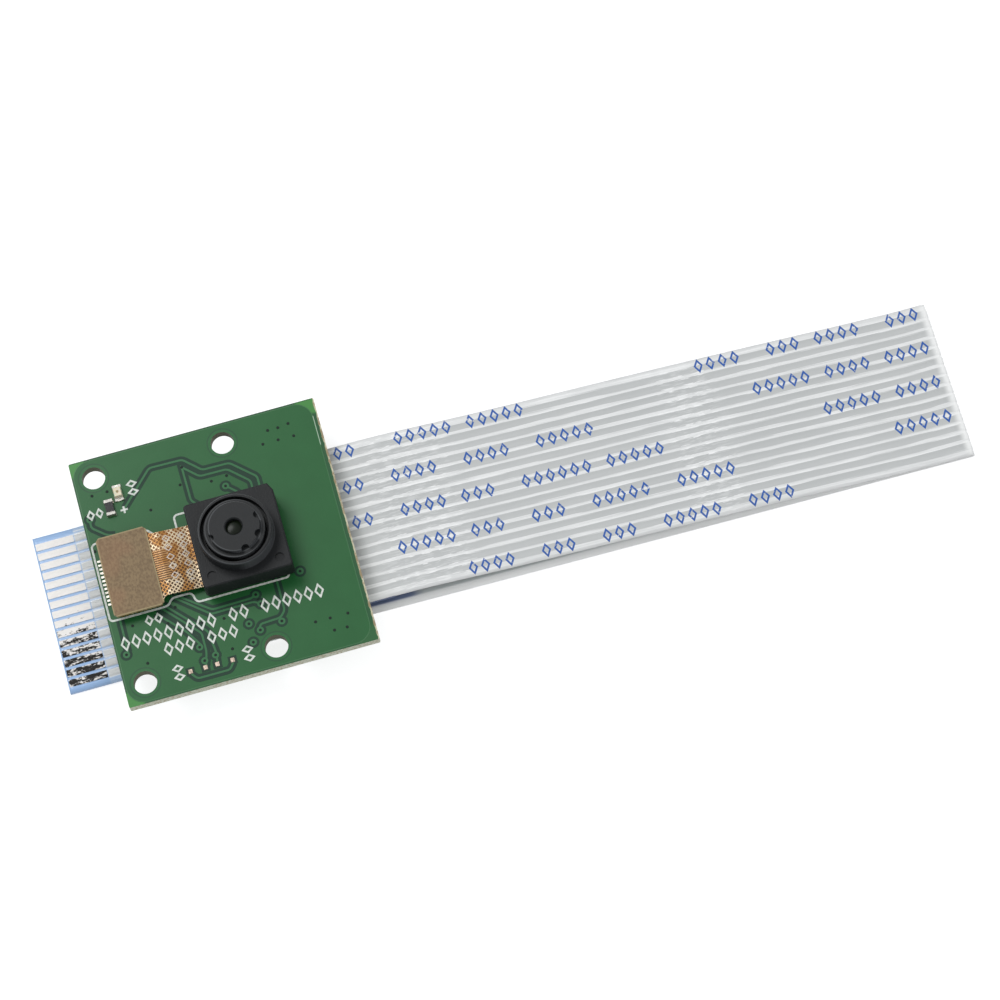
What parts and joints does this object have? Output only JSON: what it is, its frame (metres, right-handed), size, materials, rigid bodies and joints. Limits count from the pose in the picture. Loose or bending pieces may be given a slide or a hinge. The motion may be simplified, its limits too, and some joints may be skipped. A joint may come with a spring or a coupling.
{
  "type": "camera module",
  "caption": "Small camera circuit board with a square lens module, a stiffened flexible circuit and a flat ribbon cable folded back under the board.",
  "frame": {"origin": "centre of the four mounting holes, on the board's top face", "axes": "+X along the ribbon cable away from the board, +Y across the board, +Z out through the lens"},
  "size_m": [0.0874, 0.025, 0.0093],
  "materials": {
    "solder_mask": "satin green solder mask on a glass-fibre board",
    "foam_tape": "matt black foam",
    "stiffener_board": "matt brown laminate",
    "flex_film": "glossy amber film over copper mesh",
    "black_plastic": "matt black moulding",
    "fine_connector_plastic": "matt dark moulding",
    "lens_glass": "clear with a greenish coating",
    "filter_glass": "clear with a cyan coating",
    "sensor_chip": "polished silicon",
    "gold_contact": "bright gold plating",
    "led_cream": "cloudy cream",
    "resistor_ceramic": "black glaze on white ceramic",
    "capacitor_ceramic": "matt brown ceramic",
    "tinned_metal": "dull bright tin",
    "oscillator_ceramic": "matt dark ceramic",
    "oscillator_metal": "brushed metal lid",
    "connector_housing": "matt ivory moulding",
    "connector_latch": "matt black moulding",
    "ribbon_film": "glossy white film over flat conductors",
    "blue_stiffener": "glossy light blue film"
  },
  "bodies": {
    "module": {"adhesive_pad": "foam_tape", "board_receptacle": "fine_connector_plastic", "capacitor_1": "capacitor_ceramic", "capacitor_2": "capacitor_ceramic", "capacitor_3": "capacitor_ceramic", "capacitor_4": "capacitor_ceramic", "capacitor_5": "capacitor_ceramic", "capacitor_6": "capacitor_ceramic", "capacitor_7": "capacitor_ceramic", "capacitor_8": "capacitor_ceramic", "capacitor_ends": "tinned_metal", "circuit_board": "solder_mask", "connector_anchor_tabs": "tinned_metal", "driver_transistor": "black_plastic", "driver_transistor_leads": "tinned_metal", "flex_plug": "fine_connector_plastic", "flex_plug_contacts": "gold_contact", "flex_stiffener": "stiffener_board", "front_lens": "lens_glass", "front_lens_spacer": "black_plastic", "image_sensor": "sensor_chip", "infrared_filter": "filter_glass", "led_resistor": "resistor_ceramic", "led_resistor_ends": "tinned_metal", "lens_barrel": "black_plastic", "lens_holder": "black_plastic", "lens_retaining_ring": "black_plastic", "middle_lens": "lens_glass", "oscillator_base": "oscillator_ceramic", "oscillator_lid": "oscillator_metal", "rear_lens": "lens_glass", "rear_lens_spacer": "black_plastic", "receptacle_contacts": "gold_contact", "regulator_1": "black_plastic", "regulator_1_leads": "tinned_metal", "regulator_2": "black_plastic", "regulator_2_leads": "tinned_metal", "regulator_3": "black_plastic", "regulator_3_leads": "tinned_metal", "resistor_1": "resistor_ceramic", "resistor_2": "resistor_ceramic", "resistor_3": "resistor_ceramic", "resistor_4": "resistor_ceramic", "resistor_5": "resistor_ceramic", "resistor_6": "resistor_ceramic", "resistor_ends": "tinned_metal", "ribbon_board_end_contacts": "tinned_metal", "ribbon_board_end_stiffener": "blue_stiffener", "ribbon_connector_contacts": "tinned_metal", "ribbon_connector_housing": "connector_housing", "ribbon_film": "ribbon_film", "ribbon_free_end_contacts": "tinned_metal", "ribbon_free_end_stiffener": "blue_stiffener", "sensor_base": "stiffener_board", "sensor_flex": "flex_film", "status_led_base": "led_cream", "status_led_lens": "led_cream", "status_led_terminals": "tinned_metal"},
    "latch": {"ribbon_connector_latch": "connector_latch"}
  },
  "joints": [
    {"name": "latch_slide", "type": "slide", "parent": "module", "child": "latch", "axis": [1, 0, 0], "range_m": [0, 0.001]}
  ]
}
